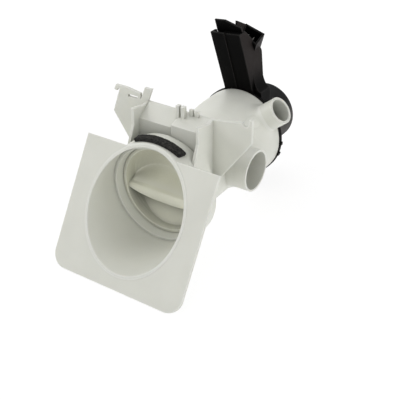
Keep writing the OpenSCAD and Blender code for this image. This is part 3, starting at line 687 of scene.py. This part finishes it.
def dome_band():
    """Smooth skin over the dome, flush with the casing in front of it and behind it."""
    outline = []
    for k in range(BAND_ROWS + 1):
        y = BAND_FROM + (BAND_TO - BAND_FROM) * k / BAND_ROWS
        lift = math.sin(math.pi * k / BAND_ROWS)
        outline.append((casing_r(y) + BAND_PROUD * lift - BAND_SUNK * (1 - lift) ** BAND_SUNK_POWER, y))
    outline += [(casing_r(y) - BAND_ROOT, y) for y in (BAND_TO, BAND_FROM)]
    mesh = bmesh.new()
    rings = []
    for i in range(BAND_TURNS):
        a = 2 * math.pi * i / BAND_TURNS
        ring = [(MM * r * math.cos(a), MM * y, MM * r * math.sin(a)) for r, y in outline]
        rings.append([mesh.verts.new(at) for at in ring])
    join_rings(mesh, rings + rings[:1], BAND_ROWS, (0, BAND_ROWS))
    add_piece("dome_band", mesh, "housing_white", "housing")


def cheek_corners():
    """Gussets that lead the cheeks' tops up to the cross plate."""
    corners = [(CHEEK_BACK[0][0], CHEEK_UNDER), *CHEEK_BACK, (CHEEK_BACK[1][0], CHEEK_UNDER)]
    mesh = bmesh.new()
    for side in (-1, 1):
        rings = []
        for x in CHEEK_X:
            rings.append([mesh.verts.new((MM * side * x, MM * y, MM * z)) for y, z in corners])
        join_rings(mesh, rings)
        close_ends(mesh, rings)
    add_piece("cheek_corners", mesh, "housing_white", "housing")


def front_edge(z):
    """Axial place of the right cheek's front edge at a height."""
    for (high, y_high), (low, y_low) in zip(FAIR_FRONT, FAIR_FRONT[1:]):
        if z >= low:
            return y_low + (y_high - y_low) * (z - low) / (high - low)
    return FAIR_FRONT[-1][1]


def neck_r(y):
    """Outer radius of the filter chamber between its collar and its tube."""
    (y0, r0), (y1, r1) = FAIR_NECK
    return r0 + (r1 - r0) * clamp((y - y0) / (y1 - y0))


def fairing_x(y, z, start):
    """Outer face of the fairing and its root, sideways, behind the start of the cheek at that height."""
    spout_x = math.sqrt(FAIR_SPOUT_R ** 2 - z * z)
    reach = FAIR_REACH * min(1.0, FAIR_LEAST + (y - start) / FAIR_START)
    swell = -soft_min(-FAIR_CHEEK_X, -spout_x, reach) - FAIR_CHEEK_X
    past = clamp((y - FAIR_SPOUT_END) / (FAIR_END - FAIR_SPOUT_END))
    swell *= 0.5 + 0.5 * math.cos(math.pi * past)
    outer = FAIR_CHEEK_X + swell - FAIR_SUNK * max(0.0, 1 - swell / FAIR_FADE)
    wall_r = FAIR_ROOT_R if y < FAIR_SPOUT_END else neck_r(y) - FAIR_IN_WALL
    inner = max(FAIR_ROOT_X, math.sqrt(max(0.0, wall_r ** 2 - z * z)))
    return max(outer, inner + FAIR_FADE), inner


def cheek_fairing():
    """Hollow that leads the right cheek's outer face on to the spout and back to the cross plate."""
    mesh = bmesh.new()
    face, root = {}, {}
    top, bottom = FAIR_FRONT[0][0], FAIR_FRONT[-1][0]
    rows = int((top - bottom) / FAIR_STEP)
    columns = int((FAIR_BACK - FAIR_FRONT[-1][1]) / FAIR_STEP)
    for k in range(rows + 1):
        z = bottom + (top - bottom) * k / rows
        start = front_edge(z)
        for i in range(columns + 1):
            y = start + (FAIR_BACK - start) * i / columns
            outer, inner = fairing_x(y, z, start)
            face[i, k] = mesh.verts.new((MM * outer, MM * y, MM * z))
            root[i, k] = mesh.verts.new((MM * inner, MM * y, MM * z))
    close_sheet(mesh, face, root)
    add_piece("cheek_fairing", mesh, "housing_white", "housing")


def lip_section(turn):
    """Points round the lip's section at a turn round the mouth, from its outer edge over its top."""
    slope = math.tan(math.radians(FLANGE_SLANT))
    normal = Vector((0.0, -1.0, slope)).normalized()
    level, upward = math.cos(turn), math.sin(turn)
    inner = MOUTH_R - MOUTH_TAPER * max(0.0, MOUTH_R * upward * slope) + LIP_INSET
    middle = (LIP_OUT_R + inner) / 2
    half = (LIP_OUT_R - inner) / 2
    proud = LIP_PROUD[0] + (LIP_PROUD[1] - LIP_PROUD[0]) * (0.5 + 0.5 * upward)
    on_flange = Vector((level, upward * slope, upward))
    points = []
    for k in range(LIP_STEPS + 1):
        a = math.pi * k / LIP_STEPS
        points.append(on_flange * (middle + half * math.cos(a)) + normal * (proud * math.sin(a)))
    sunk = Vector((0.0, LIP_SUNK, 0.0))
    return points + [on_flange * inner + sunk, on_flange * LIP_OUT_R + sunk]


def mouth_lip():
    """Rounded lip along the mouth's edge, fullest at the top."""
    mesh = bmesh.new()
    rings = []
    for i in range(LIP_TURNS):
        section = lip_section(2 * math.pi * i / LIP_TURNS)
        rings.append([mesh.verts.new(MM * at) for at in section])
    join_rings(mesh, rings + rings[:1], LIP_STEPS, (0, LIP_STEPS))
    add_piece("mouth_lip", mesh, "housing_white", "housing")


def seen_or_mirrored(tree):
    """Socket that is 1 for rays from the camera, off a glossy surface or through glass."""
    path = node(tree, "ShaderNodeLightPath").outputs
    both = calculate(tree, "MAXIMUM", path["Is Camera Ray"], path["Is Glossy Ray"])
    return calculate(tree, "MAXIMUM", both, path["Is Transmission Ray"])


def add_world():
    """Plain white world."""
    world = bpy.data.worlds.new("studio")
    bpy.context.scene.world = world
    world.use_nodes = True
    tree = world.node_tree
    background = tree.nodes["Background"]
    background.inputs["Color"].default_value = (1, 1, 1, 1)
    strength = span(tree, seen_or_mirrored(tree), WORLD_LIGHT, 1.0)
    tree.links.new(strength, background.inputs["Strength"])


def add_floor():
    """Pale floor under the object that keeps its shadow and is white further away."""
    low = min(corner[2] for corner in cad_box) - FLOOR_GAP
    half = FLOOR_SIZE / 2
    corners = [(-half, -half, low), (half, -half, low), (half, half, low), (-half, half, low)]
    data = bpy.data.meshes.new("floor")
    data.from_pydata(corners, [], [(0, 1, 2, 3)])
    floor = bpy.data.objects.new("floor", data)
    bpy.context.scene.collection.objects.link(floor)
    made, tree, shader = material("floor_look")
    shader.inputs["Base Color"].default_value = rgba(FLOOR_COLOUR)
    shader.inputs["Roughness"].default_value = FLOOR_ROUGHNESS
    shader.inputs["Specular IOR Level"].default_value = FLOOR_SPECULAR
    white = node(tree, "ShaderNodeEmission", {"Color": (1, 1, 1, 1), "Strength": FLOOR_STRENGTH})
    place = node(tree, "ShaderNodeNewGeometry").outputs["Position"]
    away = node(tree, "ShaderNodeVectorMath", {0: place}, operation="LENGTH").outputs["Value"]
    white_share = span(tree, away, FLOOR_WHITE, 1.0, *FLOOR_FADE)
    share = span(tree, seen_or_mirrored(tree), FLOOR_GLOW, white_share)
    both = node(tree, "ShaderNodeMixShader", {0: share, 1: shader.outputs[0], 2: white.outputs[0]})
    tree.links.new(both.outputs[0], tree.nodes["Material Output"].inputs["Surface"])
    data.materials.append(made)


def add_lamps():
    """Soft lamps round the object."""
    for name, place, power in LAMPS:
        lamp = bpy.data.lights.new(name, "AREA")
        lamp.size = LAMP_WIDTH
        lamp.energy = power
        holder = bpy.data.objects.new(name, lamp)
        holder.location = place
        aim = Vector(LAMP_AIM) - Vector(place)
        holder.rotation_euler = aim.to_track_quat("-Z", "Y").to_euler()
        bpy.context.scene.collection.objects.link(holder)


def add_camera():
    """The photograph's camera."""
    data = bpy.data.cameras.new("camera")
    data.sensor_width = SENSOR
    data.lens = CAMERA_LENS
    camera = bpy.data.objects.new("camera", data)
    camera.location = CAMERA_PLACE
    camera.rotation_euler = (math.radians(90 - CAMERA_HEIGHT), 0, math.radians(CAMERA_TURN))
    bpy.context.scene.collection.objects.link(camera)
    bpy.context.scene.camera = camera


dress_nodes()
foam_strip()
grip_blend()
outlet_root()
dome_band()
cheek_corners()
cheek_fairing()
mouth_lip()
add_world()
add_floor()
add_lamps()
add_camera()
bpy.context.scene.view_settings.view_transform = "Standard"
